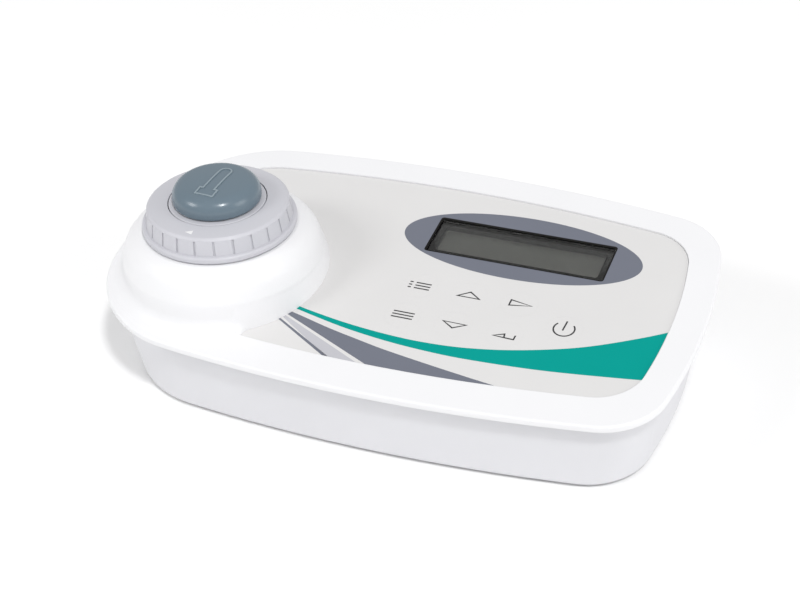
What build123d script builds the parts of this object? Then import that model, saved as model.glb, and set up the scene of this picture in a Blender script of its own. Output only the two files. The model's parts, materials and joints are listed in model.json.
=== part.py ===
from build123d import *
import os
from math import atan2, cos, hypot, radians, sin, tan

os.makedirs("parts", exist_ok=True)

# Chemical oxygen demand analyzer in millimetres
# +X is to the right, the front faces -Y, the feet stand on z = 0

# Housing outline: four large arcs that meet at rounded corners
half_length = 111.0
half_width = 64.6
side_radius = 592.0
right_radius = 214.0
left_radius = 236.0
right_corner = 24.0
left_corner = 46.0

# Sloped top: the panel plane's tilt and its height at mid-width
panel_tilt = 5.0
panel_height = 38.6
rim_height = 3.0
rim_edge = 0.8

# Lower housing: insets from the rim, walls and floor
foot_height = 1.2
foot_edge = 0.5
foot_fit = 0.1
wall = 2.5
floor = 3.0
shadow_inset = 3.8
base_side_inset = 7.0
base_right_inset = 8.0
base_left_inset = 9.5
base_right_corner = 24.0
base_left_corner = 40.0
base_edge = 1.5
skirt_depth = 3.0
skirt_wall = 1.5
skirt_gap = 1.0

# Panel recess and membrane overlay
overlay_side_inset = 12.8
overlay_right_inset = 11.4
overlay_left_inset = 12.0
overlay_shift = 1.1
overlay_right_corner = 18.0
overlay_left_corner = 34.0
overlay_tip = 1.5
recess_depth = 1.2
overlay_thickness = 0.5
overlay_gap = 0.15

# Turret
turret_from_left = 44.5
turret_from_front = 50.6
turret_top = 55.9
turret_base = 28.0
top_plate = 3.0
panel_cut_radius = 38.1
dome_draft = 0.03
foot_fillet = 5.4
shoulder_radius = 29.0
dome_wall = 2.8

# Lock ring and its hub
hub_radius = 22.0
hub_height = 7.7
hub_flange_radius = 27.0
hub_flange = 2.0
hub_neck_radius = 18.0
hub_depth = 6.5
hub_floor = 2.5
hub_fit = 0.2
hub_screw_circle = 24.7
hub_screw_count = 3
hub_screw_skin = 0.8
bead = 0.6
bead_height = 3.9
bead_width = 1.0
ring_gap = 0.3
ring_lift = 0.25
ring_radius = 28.35
ring_flange = 2.8
rib_radius = 26.9
rib_top_radius = 26.0
rib_height = 8.7
ring_height = 10.1
ring_edge_radius = 25.0
ring_edge_drop = 0.6
ring_rounding = 0.9
rib_count = 24
rib_groove_width = 0.7
rib_groove_depth = 0.4
rib_rest = 0.3
ring_turn = 30.0
stop_width = 6.0
stop_height = 2.2
stop_reach = 1.6
stop_root = 0.4
stop_slack = 0.8

# Lid
lid_radius = 17.8
lid_gap = 0.3
lid_lift_gap = 0.1
lid_plate = 2.4
lid_edge = 0.4
skirt_radius = 13.7
skirt_bore = 11.2
lid_skirt = 9.8
plug_gap = 0.6
seal_wire = 0.75
seal_height = 1.8
seal_gap = 0.2
seal_fit = 0.02
knob_radius = 16.2
knob_foot_radius = 14.0
knob_foot = 0.3
knob_height = 8.0
knob_crown = 1.3
knob_top_fillet = 5.2
knob_base_fillet = 1.0
lid_boss_radius = 6.0
lid_boss = 1.5
lid_screw_radius = 1.5
lid_screw_head = 3.0
lid_screw_head_height = 2.0
lid_screw_bite = 6.0

# Raised vial outline on the knob
vial_line = 0.6
vial_rise = 0.35
vial_length = 19.0
vial_width = 5.0
vial_cap_length = 4.4
vial_cap_width = 7.6
vial_turn = -3.0
vial_off_right = 1.0
vial_off_front = 1.1
vial_depth = 2.0

# Sample well for a 16 mm vial, with a square optical middle
well_bore = 8.15
well_wall = 2.85
well_floor = 2.8
well_flange = 2.0
well_flange_radius = 14.0
optic_half = 12.0
optic_low = 12.0
optic_high = 32.0
beam_height = 22.0
beam_radius = 2.0

# Lamp and detector, one on each side of the well
holder_length = 12.0
holder_side = 16.0
lens_radius = 4.0
lens_thickness = 3.0
filter_thickness = 2.0
emitter_radius = 2.5
emitter_flange_radius = 2.9
emitter_flange = 1.0
emitter_length = 6.5
emitter_rounding = 1.5
optic_fit = 0.05
optic_board_side = 18.0
board_thickness = 1.6

# Display, placed from the window's centre on the panel
window_from_right = 75.2
window_from_back = 39.7
window_length = 68.0
window_width = 19.9
window_corner = 1.0
surround_wall = 1.2
surround_flange = 1.0
surround_margin = 2.8
surround_corner = 1.4
lens_sink = 0.9
lens_plate = 1.0
lens_fit = 0.1
bezel_length = 71.3
bezel_width = 26.8
bezel_depth = 4.0
bezel_skin = 0.4
view_length = 62.5
view_width = 14.2
glass_length = 69.0
glass_width = 24.0
glass_thickness = 2.2
lcd_board_length = 80.0
lcd_board_width = 36.0
lcd_screw_x = 37.5
lcd_screw_y = 15.5

# Keys and main board
key_left = 28.5
key_drop = 30.1
key_pitch_x = 19.0
key_pitch_y = 16.8
key_radius = 6.6
key_gap = 0.06
key_room = 0.6
key_travel = 0.35
stem_radius = 2.2
stem_gap = 0.3
board_depth = 9.0
switch_side = 6.0
switch_height = 3.0
switch_gap = 0.4
main_board_length = 84.0
main_board_width = 36.0
main_board_drop = 40.4
main_screw_inset = 3.0
chip_side = 14.0
chip_height = 1.6

# Small screws that hold the boards
post_radius = 2.6
board_screw_radius = 0.9
board_screw_head = 1.9
board_screw_head_height = 1.4
board_screw_bite = 4.0
thread_fit = 0.05
screw_tip_gap = 0.5
board_hole_gap = 0.2

# Housing screws, feet and label under the base
screw_end_inset = 27.0
screw_side_inset = 22.6
screw_corner_inset = 24.6
screw_front_inset = 16.6
screw_beside_turret = 30.5
boss_radius = 4.0
boss_top = 20.0
upper_boss_radius = 3.6
housing_screw_radius = 1.5
housing_head_radius = 2.8
housing_head = 2.2
head_recess = 5.0
head_room = 0.4
housing_screw_bite = 7.0
foot_right_inset = 45.0
foot_left_inset = 41.0
foot_corner_inset = 24.6
foot_size = 6.0
foot_recess = 1.0
label_from_bay = 59.0
label_length = 44.0
label_width = 26.0
label_thickness = 0.2
label_corner = 2.0

# Battery bay, opening downwards
bay_from_right = 66.0
bay_length = 52.6
bay_width = 61.0
bay_height = 16.8
bay_wall = 1.6
cell_radius = 7.1
cell_length = 49.2
cell_pitch = 15.0
cell_count = 4
cell_tip = 1.0
cell_tip_radius = 2.75
cell_gap = 0.05
contact_side = 12.0
contact_thickness = 0.5
leaf_thickness = 0.4
leaf_half = 4.5
leaf_end = 1.0
leaf_width = 4.0
door_thickness = 2.0
door_margin = 3.0
door_screw_margin = 6.0
door_gap = 0.2
door_screw_radius = 1.2
door_head_radius = 2.4
door_head = 1.1
door_head_sink = 0.1
door_screw_bite = 6.0
door_boss_radius = 2.9
door_boss_height = 8.5

# Places that follow from the sizes above
turret_x = turret_from_left - half_length
turret_y = turret_from_front - half_width
window_x = half_length - window_from_right
window_y = half_width - window_from_back
key_x = window_x - key_left
key_y = window_y - key_drop
main_board_x = window_x
main_board_y = window_y - main_board_drop
bay_x = half_length - bay_from_right
label_x = bay_x - label_from_bay
door_side = bay_width / 2 + door_margin
base_side = half_width - base_side_inset - base_edge
foot_y = (door_side + base_side) / 2
housing_screws_at = [
    (half_length - screw_end_inset, screw_side_inset - half_width),
    (half_length - screw_end_inset, half_width - screw_side_inset),
    (screw_end_inset - half_length, half_width - screw_corner_inset),
    (turret_x + screw_beside_turret, screw_front_inset - half_width),
]
feet_at = [
    (half_length - foot_right_inset, -foot_y),
    (half_length - foot_right_inset, foot_y),
    (foot_left_inset - half_length, half_width - foot_corner_inset),
    (foot_left_inset - half_length, foot_corner_inset - half_width),
]

# Planes, axes and small helpers
tilt = radians(panel_tilt)
panel = Plane(
    origin=(0, -rim_height * sin(tilt) / 2, panel_height),
    x_dir=(1, 0, 0),
    z_dir=(0, -sin(tilt), cos(tilt)),
)
turret_axis = Axis((turret_x, turret_y, 0), (0, 0, 1))
panel_normal = Axis((0, 0, 0), panel.z_dir)
turret_on_panel = (turret_x, (turret_y - panel.origin.Y) / cos(tilt))
base = foot_height + floor


def section(angle=0.0):
    """Upright plane through the turret's axis: x is the radius, y is the height."""
    a = radians(angle)
    return Plane(
        origin=(turret_x, turret_y, 0),
        x_dir=(cos(a), sin(a), 0),
        z_dir=(sin(a), -cos(a), 0),
    )


def turret_level(height):
    """Level plane centred on the turret's axis."""
    return Plane(origin=(turret_x, turret_y, height))


def beam_plane(side, distance):
    """Plane across the light beam, facing away from the well on its right (1) or left (-1)."""
    return Plane(
        origin=(turret_x + side * distance, turret_y, beam_height),
        x_dir=(0, side, 0),
        z_dir=(side, 0, 0),
    )


def underside(y):
    """Height of the rim slab's lower face above a point at this y."""
    return panel_height + (y - panel.origin.Y) * tan(tilt) - rim_height / cos(tilt)


def housing_outline(side, right, left, corner_right, corner_left, shift=0.0):
    """Outline inset by its own amount at the sides, the right end and the left end."""
    with BuildSketch() as outline:
        with Locations((0, shift + half_width - side_radius)):
            Circle(side_radius - side)
        with Locations((0, shift + side_radius - half_width)):
            Circle(side_radius - side, mode=Mode.INTERSECT)
        with Locations((half_length - right_radius, 0)):
            Circle(right_radius - right, mode=Mode.INTERSECT)
        with Locations((left_radius - half_length, 0)):
            Circle(left_radius - left, mode=Mode.INTERSECT)
        fillet(outline.vertices().sort_by(Axis.X)[:2], corner_left)
        fillet(outline.vertices().sort_by(Axis.X)[-2:], corner_right)
    return outline.sketch


def even_outline(inset):
    """Rim outline inset by the same amount all round."""
    return housing_outline(inset, inset, inset, right_corner - inset, left_corner - inset)


def base_outline(inset):
    """Outline of the lower housing at its floor, inset further by a wall."""
    return housing_outline(
        base_side_inset + inset,
        base_right_inset + inset,
        base_left_inset + inset,
        base_right_corner - inset,
        base_left_corner - inset,
    )


def overlay_outline(gap):
    """Outline of the panel recess, or of the overlay in it, cut back round the turret."""
    whole = housing_outline(
        overlay_side_inset + gap,
        overlay_right_inset + gap,
        overlay_left_inset + gap,
        overlay_right_corner - gap,
        overlay_left_corner - gap,
        overlay_shift,
    )
    with BuildSketch() as outline:
        add(whole)
        with Locations(turret_on_panel):
            Circle(panel_cut_radius + gap, mode=Mode.SUBTRACT)
        tips = outline.vertices().sort_by_distance((*turret_on_panel, 0))[:2]
        fillet(tips, overlay_tip)
    return outline.sketch


def finish(builder, name):
    """Label a finished piece and write it out."""
    builder.part.label = name
    export_step(builder.part, f"parts/{name}.step")


rim_outline = even_outline(0.0)
skirt_outer = even_outline(shadow_inset + wall + skirt_gap)
skirt_inner = even_outline(shadow_inset + wall + skirt_gap + skirt_wall)
wall_top_outer = even_outline(shadow_inset)
wall_top_inner = even_outline(shadow_inset + wall)
wall_base_outer = base_outline(0.0)
wall_base_inner = base_outline(wall)
recess_outline = overlay_outline(0.0)
film_outline = overlay_outline(overlay_gap)

# Key places on the panel, by name
key_grid = {
    "table": (0, 0),
    "up": (1, 0),
    "right": (2, 0),
    "menu": (0, -1),
    "down": (1, -1),
    "enter": (2, -1),
    "power": (3, -0.5),
}
key_places = {
    name: (key_x + column * key_pitch_x, key_y + row * key_pitch_y)
    for name, (column, row) in key_grid.items()
}
window_place = (window_x, window_y)

# Screw places of the two boards
main_screw_x = main_board_length / 2 - main_screw_inset
main_screw_y = main_board_width / 2 - main_screw_inset
main_screws_at = [
    (main_board_x + i * main_screw_x, main_board_y + j * main_screw_y) for i in (-1, 1) for j in (-1, 1)
]
lcd_screws_at = [
    (window_x + i * lcd_screw_x, window_y + j * lcd_screw_y) for i in (-1, 1) for j in (-1, 1)
]
lens_top = recess_depth - overlay_thickness + lens_sink
lens_low = lens_top + lens_plate
bezel_top = rim_height + surround_flange
lcd_board_top = bezel_top + bezel_depth

# Dome profile: how far each point stands outside the shoulder, and how far below the top
dome_profile = [(0.0, 0.0), (2.7, 1.2), (4.8, 3.2), (6.6, 6.0), (7.9, 10.0), (8.4, 13.4)]

# Upper housing: rim slab, turret, skirt, bosses and posts
with BuildPart() as upper_housing:
    with BuildSketch(panel):
        add(rim_outline)
    extrude(amount=-rim_height)
    slab_faces = upper_housing.faces().sort_by(panel_normal)
    fillet(slab_faces[0].edges() + slab_faces[-1].edges(), rim_edge)
    with BuildSketch(section()):
        with BuildLine():
            shoulder = Spline(
                [(shoulder_radius + out, turret_top - drop) for out, drop in dome_profile],
                tangents=[(1, -0.3), (dome_draft, -1)],
            )
            dome_low = (shoulder @ 1).X + dome_draft * ((shoulder @ 1).Y - turret_base)
            Polyline(
                shoulder @ 1,
                (dome_low, turret_base),
                (0, turret_base),
                (0, turret_top),
                shoulder @ 0,
            )
        make_face()
    revolve(axis=turret_axis)
    split(bisect_by=panel.offset(-rim_height), keep=Keep.TOP)
    turret_foot = upper_housing.edges().filter_by(GeomType.ELLIPSE).sort_by(SortBy.LENGTH)[-1]
    fillet(turret_foot, foot_fillet)
    # hollow of the turret
    hollow = [(out, drop) for out, drop in dome_profile if drop > top_plate]
    with BuildSketch(section()):
        with BuildLine():
            Polyline(
                (0, turret_base),
                (dome_low - dome_wall, turret_base),
                *[(shoulder_radius + out - dome_wall, turret_top - drop) for out, drop in reversed(hollow)],
                (shoulder_radius, turret_top - top_plate),
                (0, turret_top - top_plate),
                close=True,
            )
        make_face()
    revolve(axis=turret_axis, mode=Mode.SUBTRACT)
    with BuildSketch(turret_level(turret_top)):
        Circle(hub_radius + hub_fit)
    extrude(amount=-top_plate, mode=Mode.SUBTRACT)
    with BuildSketch(turret_level(turret_top - top_plate)):
        with PolarLocations(hub_screw_circle, hub_screw_count):
            Circle(board_screw_radius + thread_fit)
    extrude(amount=top_plate - hub_screw_skin, mode=Mode.SUBTRACT)
    # skirt that drops inside the lower housing
    with BuildSketch(panel.offset(-rim_height)):
        add(skirt_outer)
        add(skirt_inner, mode=Mode.SUBTRACT)
    extrude(amount=-skirt_depth)
    # posts for the two boards
    with BuildSketch(panel.offset(-rim_height)):
        with Locations(main_screws_at):
            Circle(post_radius)
    extrude(amount=rim_height - board_depth)
    with BuildSketch(panel.offset(-rim_height)):
        with Locations(lcd_screws_at):
            Circle(post_radius)
    extrude(amount=rim_height - lcd_board_top)
    with BuildSketch(panel.offset(-board_depth)):
        with Locations(main_screws_at):
            Circle(board_screw_radius + thread_fit)
    extrude(amount=board_screw_bite + thread_fit, mode=Mode.SUBTRACT)
    with BuildSketch(panel.offset(-lcd_board_top)):
        with Locations(lcd_screws_at):
            Circle(board_screw_radius + thread_fit)
    extrude(amount=board_screw_bite + thread_fit, mode=Mode.SUBTRACT)
    # bosses for the housing screws
    for x, y in housing_screws_at:
        with BuildSketch(Plane(origin=(x, y, boss_top))):
            Circle(upper_boss_radius)
        extrude(amount=underside(y) + rim_height / 2 - boss_top)
        with BuildSketch(Plane(origin=(x, y, boss_top))):
            Circle(housing_screw_radius + thread_fit)
        extrude(amount=housing_screw_bite + thread_fit, mode=Mode.SUBTRACT)
    # recess for the overlay, open upwards so that it also trims the turret's foot
    with BuildSketch(panel.offset(-recess_depth)):
        add(recess_outline)
    extrude(amount=recess_depth + foot_fillet, mode=Mode.SUBTRACT)
    # display opening
    with BuildSketch(panel.offset(-rim_height)):
        with Locations(window_place):
            RectangleRounded(
                window_length + 2 * (surround_wall + overlay_gap),
                window_width + 2 * (surround_wall + overlay_gap),
                window_corner + surround_wall,
            )
    extrude(amount=rim_height, mode=Mode.SUBTRACT)
    # room for each key and a hole for its stem
    with BuildSketch(panel.offset(-recess_depth)):
        with Locations(*key_places.values()):
            Circle(key_radius + stem_gap)
    extrude(amount=-key_room, mode=Mode.SUBTRACT)
    with BuildSketch(panel.offset(-rim_height)):
        with Locations(*key_places.values()):
            Circle(stem_radius + stem_gap)
    extrude(amount=rim_height, mode=Mode.SUBTRACT)
finish(upper_housing, "upper_housing")

# Lower housing: drafted tray with bosses, battery bay and recesses under the floor
bay_ceiling = foot_height + door_thickness + bay_height - bay_wall
door_length = bay_length + 2 * bay_wall + door_margin + door_screw_margin
door_x = bay_x + (door_screw_margin - door_margin) / 2
door_width = bay_width + 2 * door_margin
door_screw_x = bay_x + bay_length / 2 + bay_wall + door_screw_margin / 2
with BuildPart() as lower_housing:
    with BuildSketch(Plane.XY.offset(foot_height)):
        add(wall_base_outer)
    with BuildSketch(panel.offset(-rim_height)):
        add(wall_top_outer)
    loft()
    fillet(lower_housing.faces().sort_by(Axis.Z)[0].edges(), base_edge)
    with BuildSketch(Plane.XY.offset(base)):
        add(wall_base_inner)
    with BuildSketch(panel.offset(-rim_height)):
        add(wall_top_inner)
    loft(mode=Mode.SUBTRACT)
    with BuildSketch(Plane.XY.offset(foot_height)):
        with Locations(*housing_screws_at):
            Circle(boss_radius)
    extrude(amount=boss_top - foot_height)
    with BuildSketch(Plane.XY.offset(foot_height)):
        with Locations((bay_x, 0)):
            Rectangle(bay_length + 2 * bay_wall, bay_width + 2 * bay_wall)
    extrude(amount=bay_ceiling + bay_wall - foot_height)
    with BuildSketch(Plane.XY.offset(base)):
        with Locations((door_screw_x, 0)):
            Circle(door_boss_radius)
    extrude(amount=door_boss_height - floor)
    with BuildSketch(Plane.XY.offset(foot_height)):
        with Locations((bay_x, 0)):
            Rectangle(bay_length, bay_width)
    extrude(amount=bay_ceiling - foot_height, mode=Mode.SUBTRACT)
    with BuildSketch(Plane.XY.offset(foot_height)):
        with Locations((door_x, 0)):
            RectangleRounded(door_length + 2 * door_gap, door_width + 2 * door_gap, door_margin)
    extrude(amount=door_thickness, mode=Mode.SUBTRACT)
    with BuildSketch(Plane.XY.offset(foot_height)):
        with Locations((door_screw_x, 0)):
            Circle(door_screw_radius + thread_fit)
    extrude(amount=door_thickness + door_screw_bite, mode=Mode.SUBTRACT)
    with BuildSketch(Plane.XY.offset(foot_height)):
        with Locations(*housing_screws_at):
            Circle(housing_head_radius + head_room)
    extrude(amount=head_recess, mode=Mode.SUBTRACT)
    with BuildSketch(Plane.XY.offset(foot_height)):
        with Locations(*housing_screws_at):
            Circle(housing_screw_radius + thread_fit)
    extrude(amount=boss_top - foot_height, mode=Mode.SUBTRACT)
    with BuildSketch(Plane.XY.offset(foot_height)):
        with Locations(*feet_at):
            Circle(foot_size + foot_fit)
    extrude(amount=foot_recess, mode=Mode.SUBTRACT)
finish(lower_housing, "lower_housing")

# Panel overlay: one film with the window and a round opening at each key
with BuildPart() as panel_overlay:
    with BuildSketch(panel.offset(-recess_depth)):
        add(film_outline)
        with Locations(window_place):
            RectangleRounded(window_length, window_width, window_corner, mode=Mode.SUBTRACT)
        with Locations(*key_places.values()):
            Circle(key_radius + key_gap, mode=Mode.SUBTRACT)
    extrude(amount=overlay_thickness)
finish(panel_overlay, "panel_overlay")

# Keys: a disc of the film with a stem that reaches down to its switch
stem_end = board_depth - switch_height - switch_gap
for name, place in key_places.items():
    with BuildPart() as key:
        with BuildSketch(panel.offset(-recess_depth)):
            with Locations(place):
                Circle(key_radius)
        extrude(amount=overlay_thickness)
        with BuildSketch(panel.offset(-recess_depth)):
            with Locations(place):
                Circle(stem_radius)
        extrude(amount=recess_depth - stem_end)
    finish(key, f"key_{name}")

# Display surround: black lining of the window, a seat for the lens and a flange under the housing
with BuildPart() as display_surround:
    with BuildSketch(panel.offset(-rim_height)):
        with Locations(window_place):
            RectangleRounded(
                window_length + 2 * surround_wall,
                window_width + 2 * surround_wall,
                window_corner + surround_wall,
            )
    extrude(amount=rim_height - recess_depth)
    with BuildSketch(panel.offset(-rim_height)):
        with Locations(window_place):
            RectangleRounded(
                window_length + 2 * surround_margin,
                window_width + 2 * surround_margin,
                surround_corner,
            )
    extrude(amount=-surround_flange)
    with BuildSketch(panel.offset(-lens_low)):
        with Locations(window_place):
            RectangleRounded(window_length, window_width, window_corner)
    extrude(amount=lens_low, mode=Mode.SUBTRACT)
    with BuildSketch(panel.offset(-bezel_top)):
        with Locations(window_place):
            RectangleRounded(view_length, view_width, window_corner)
    extrude(amount=bezel_top, mode=Mode.SUBTRACT)
finish(display_surround, "display_surround")

# Display lens: clear plate on the surround's seat
with BuildPart() as display_lens:
    with BuildSketch(panel.offset(-lens_top)):
        with Locations(window_place):
            RectangleRounded(
                window_length - 2 * lens_fit,
                window_width - 2 * lens_fit,
                window_corner - lens_fit,
            )
    extrude(amount=-lens_plate)
finish(display_lens, "display_lens")

# LCD bezel: pressed metal frame over the glass and backlight
with BuildPart() as lcd_bezel:
    with BuildSketch(panel.offset(-bezel_top)):
        with Locations(window_place):
            Rectangle(bezel_length, bezel_width)
    extrude(amount=-bezel_depth)
    with BuildSketch(panel.offset(-bezel_top - bezel_skin)):
        with Locations(window_place):
            Rectangle(bezel_length - 2 * bezel_skin, bezel_width - 2 * bezel_skin)
    extrude(amount=bezel_skin - bezel_depth, mode=Mode.SUBTRACT)
    with BuildSketch(panel.offset(-bezel_top)):
        with Locations(window_place):
            RectangleRounded(view_length, view_width, window_corner)
    extrude(amount=-bezel_skin, mode=Mode.SUBTRACT)
finish(lcd_bezel, "lcd_bezel")

# LCD glass and the backlight block under it
with BuildPart() as lcd_glass:
    with BuildSketch(panel.offset(-bezel_top - bezel_skin)):
        with Locations(window_place):
            Rectangle(glass_length, glass_width)
    extrude(amount=-glass_thickness)
finish(lcd_glass, "lcd_glass")

with BuildPart() as lcd_backlight:
    with BuildSketch(panel.offset(-bezel_top - bezel_skin - glass_thickness)):
        with Locations(window_place):
            Rectangle(glass_length, glass_width)
    extrude(amount=bezel_skin + glass_thickness - bezel_depth)
finish(lcd_backlight, "lcd_backlight")

# LCD board, hung from its four posts
with BuildPart() as lcd_board:
    with BuildSketch(panel.offset(-lcd_board_top)):
        with Locations(window_place):
            Rectangle(lcd_board_length, lcd_board_width)
        with Locations(lcd_screws_at):
            Circle(board_screw_radius + board_hole_gap, mode=Mode.SUBTRACT)
    extrude(amount=-board_thickness)
finish(lcd_board, "lcd_board")

# Main board under the keys, with its switches and its processor
with BuildPart() as main_board:
    with BuildSketch(panel.offset(-board_depth)):
        with Locations((main_board_x, main_board_y)):
            Rectangle(main_board_length, main_board_width)
        with Locations(main_screws_at):
            Circle(board_screw_radius + board_hole_gap, mode=Mode.SUBTRACT)
    extrude(amount=-board_thickness)
finish(main_board, "main_board")

with BuildPart() as key_switches:
    with BuildSketch(panel.offset(-board_depth)):
        with Locations(*key_places.values()):
            Rectangle(switch_side, switch_side)
    extrude(amount=switch_height)
finish(key_switches, "key_switches")

with BuildPart() as main_chip:
    with BuildSketch(panel.offset(-board_depth - board_thickness)):
        with Locations((main_board_x, main_board_y)):
            Rectangle(chip_side, chip_side)
    extrude(amount=-chip_height)
finish(main_chip, "main_chip")

# Board screws: the same screw at both boards
with BuildPart() as board_screws:
    for depth, places in ((board_depth, main_screws_at), (lcd_board_top, lcd_screws_at)):
        head_plane = panel.offset(-depth - board_thickness)
        with BuildSketch(head_plane):
            with Locations(places):
                Circle(board_screw_head)
        extrude(amount=-board_screw_head_height)
        with BuildSketch(head_plane):
            with Locations(places):
                Circle(board_screw_radius)
        extrude(amount=board_thickness + board_screw_bite)
finish(board_screws, "board_screws")

# Ring hub: fixed in the turret's top, with the snap bead and the stop tooth
with BuildPart() as ring_hub:
    with BuildSketch(section()):
        with BuildLine():
            Polyline(
                (well_bore + plug_gap, turret_top - hub_depth),
                (hub_neck_radius, turret_top - hub_depth),
                (hub_neck_radius, turret_top - top_plate - hub_flange),
                (hub_flange_radius, turret_top - top_plate - hub_flange),
                (hub_flange_radius, turret_top - top_plate),
                (hub_radius, turret_top - top_plate),
                (hub_radius, turret_top + bead_height - bead_width),
                (hub_radius + bead, turret_top + bead_height - bead_width / 2),
                (hub_radius + bead, turret_top + bead_height + bead_width / 2),
                (hub_radius, turret_top + bead_height + bead_width),
                (hub_radius, turret_top + hub_height),
                (skirt_radius + plug_gap, turret_top + hub_height),
                (skirt_radius + plug_gap, turret_top - hub_depth + hub_floor),
                (well_bore + plug_gap, turret_top - hub_depth + hub_floor),
                close=True,
            )
        make_face()
    revolve(axis=turret_axis)
    with BuildSketch(section(90 - stop_width / 2)):
        with Locations((hub_radius - stop_root, turret_top)):
            Rectangle(stop_root + stop_reach, stop_height, align=Align.MIN)
    revolve(axis=turret_axis, revolution_arc=stop_width)
    with BuildSketch(turret_level(turret_top - top_plate - hub_flange)):
        with PolarLocations(hub_screw_circle, hub_screw_count):
            Circle(board_screw_radius + thread_fit)
    extrude(amount=hub_flange, mode=Mode.SUBTRACT)
finish(ring_hub, "ring_hub")

with BuildPart() as hub_screws:
    hub_screw_plane = turret_level(turret_top - top_plate - hub_flange)
    with BuildSketch(hub_screw_plane):
        with PolarLocations(hub_screw_circle, hub_screw_count):
            Circle(board_screw_head)
    extrude(amount=-board_screw_head_height)
    with BuildSketch(hub_screw_plane):
        with PolarLocations(hub_screw_circle, hub_screw_count):
            Circle(board_screw_radius)
    extrude(amount=hub_flange + top_plate - hub_screw_skin - screw_tip_gap)
finish(hub_screws, "hub_screws")

# Lock ring: bead flange, ribbed wall and a top that rises towards the lid
ring_bore = hub_radius + ring_gap
ring_low = turret_top + ring_lift
ring_mouth = lid_radius + lid_gap
groove_low = turret_top + bead_height - bead_width - ring_gap
groove_high = turret_top + bead_height + bead_width + ring_gap
rib_pitch = 360 / rib_count
rib_slant = hypot(rib_height - ring_flange, rib_radius - rib_top_radius)
rib_lean = atan2(rib_radius - rib_top_radius, rib_height - ring_flange)


def rib_plane(angle):
    """Plane on the ribbed wall at this angle, facing outwards, its y axis up the wall."""
    a = radians(angle)
    middle = (rib_radius + rib_top_radius) / 2
    return Plane(
        origin=(
            turret_x + middle * cos(a),
            turret_y + middle * sin(a),
            turret_top + (ring_flange + rib_height) / 2,
        ),
        x_dir=(-sin(a), cos(a), 0),
        z_dir=(cos(a) * cos(rib_lean), sin(a) * cos(rib_lean), sin(rib_lean)),
    )


with BuildPart() as lock_ring:
    with BuildSketch(section()):
        with BuildLine():
            Polyline(
                (ring_mouth, turret_top + hub_height + ring_lift),
                (ring_bore, turret_top + hub_height + ring_lift),
                (ring_bore, groove_high),
                (ring_bore + bead, groove_high - bead_width / 2),
                (ring_bore + bead, groove_low + bead_width / 2),
                (ring_bore, groove_low),
                (ring_bore, ring_low),
                (ring_radius, ring_low),
                (ring_radius, turret_top + ring_flange),
                (rib_radius, turret_top + ring_flange),
                (rib_top_radius, turret_top + rib_height),
                (ring_edge_radius, turret_top + ring_height - ring_edge_drop),
                (ring_mouth, turret_top + ring_height),
                close=True,
            )
        make_face()
    revolve(axis=turret_axis)
    outer_rims = lock_ring.edges().filter_by(GeomType.CIRCLE).sort_by(lambda e: e.radius)[-2:]
    fillet(outer_rims, ring_rounding)
    with BuildSketch(*[rib_plane((i + 0.5) * rib_pitch) for i in range(rib_count)]):
        Rectangle(rib_groove_width, rib_slant - 2 * rib_rest)
    extrude(amount=rib_groove_depth, both=True, mode=Mode.SUBTRACT)
    with BuildSketch(section(90 - stop_width / 2 - ring_turn - stop_slack)):
        with Locations((ring_bore - stop_root, ring_low)):
            Rectangle(stop_root + stop_reach, stop_height + ring_gap, align=Align.MIN)
    revolve(axis=turret_axis, revolution_arc=ring_turn + stop_width + 2 * stop_slack, mode=Mode.SUBTRACT)
finish(lock_ring, "lock_ring")

# Lid disc with its skirt and seal groove
disc_low = turret_top + hub_height + lid_lift_gap
disc_top = disc_low + lid_plate
seal_z = disc_low - lid_skirt + seal_height + seal_wire
seal_radius = skirt_radius + plug_gap - seal_gap - seal_wire
with BuildPart() as lid_disc:
    with BuildSketch(turret_level(disc_low)):
        Circle(lid_radius)
    extrude(amount=lid_plate)
    fillet(lid_disc.faces().sort_by(Axis.Z)[-1].edges(), lid_edge)
    with BuildSketch(turret_level(disc_low)):
        Circle(skirt_radius)
        Circle(skirt_bore, mode=Mode.SUBTRACT)
    extrude(amount=-lid_skirt)
    with BuildSketch(turret_level(disc_low)):
        Circle(lid_boss_radius)
    extrude(amount=-lid_boss)
    with BuildSketch(turret_level(disc_low - lid_boss)):
        Circle(lid_screw_radius + thread_fit)
    extrude(amount=lid_boss + lid_plate, mode=Mode.SUBTRACT)
    with BuildSketch(section()):
        with Locations((seal_radius - seal_wire - seal_fit, seal_z - seal_wire - seal_fit)):
            Rectangle(2 * (seal_wire + seal_fit), 2 * (seal_wire + seal_fit), align=Align.MIN)
    revolve(axis=turret_axis, mode=Mode.SUBTRACT)
finish(lid_disc, "lid_disc")

with BuildPart() as lid_seal:
    with BuildSketch(section()):
        with Locations((seal_radius, seal_z)):
            Circle(seal_wire)
    revolve(axis=turret_axis)
finish(lid_seal, "lid_seal")


def knob_solid(rise):
    """The knob's crowned drum, higher by a small rise for cutting the vial outline."""
    low = disc_top + knob_foot
    edge = low + knob_height - knob_crown
    with BuildPart() as drum:
        with BuildSketch(section()) as profile:
            with BuildLine():
                Polyline(
                    (0, low + knob_height + rise),
                    (0, low),
                    (knob_radius, low),
                    (knob_radius, edge + rise),
                )
                RadiusArc(
                    (0, low + knob_height + rise),
                    (knob_radius, edge + rise),
                    (knob_radius**2 + knob_crown**2) / (2 * knob_crown),
                )
            make_face()
            fillet(profile.vertices().group_by(Axis.X)[-1].sort_by(Axis.Y)[-1], knob_top_fillet)
            fillet(profile.vertices().group_by(Axis.X)[-1].sort_by(Axis.Y)[0], knob_base_fillet)
        revolve(axis=turret_axis)
    return drum.part


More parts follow.
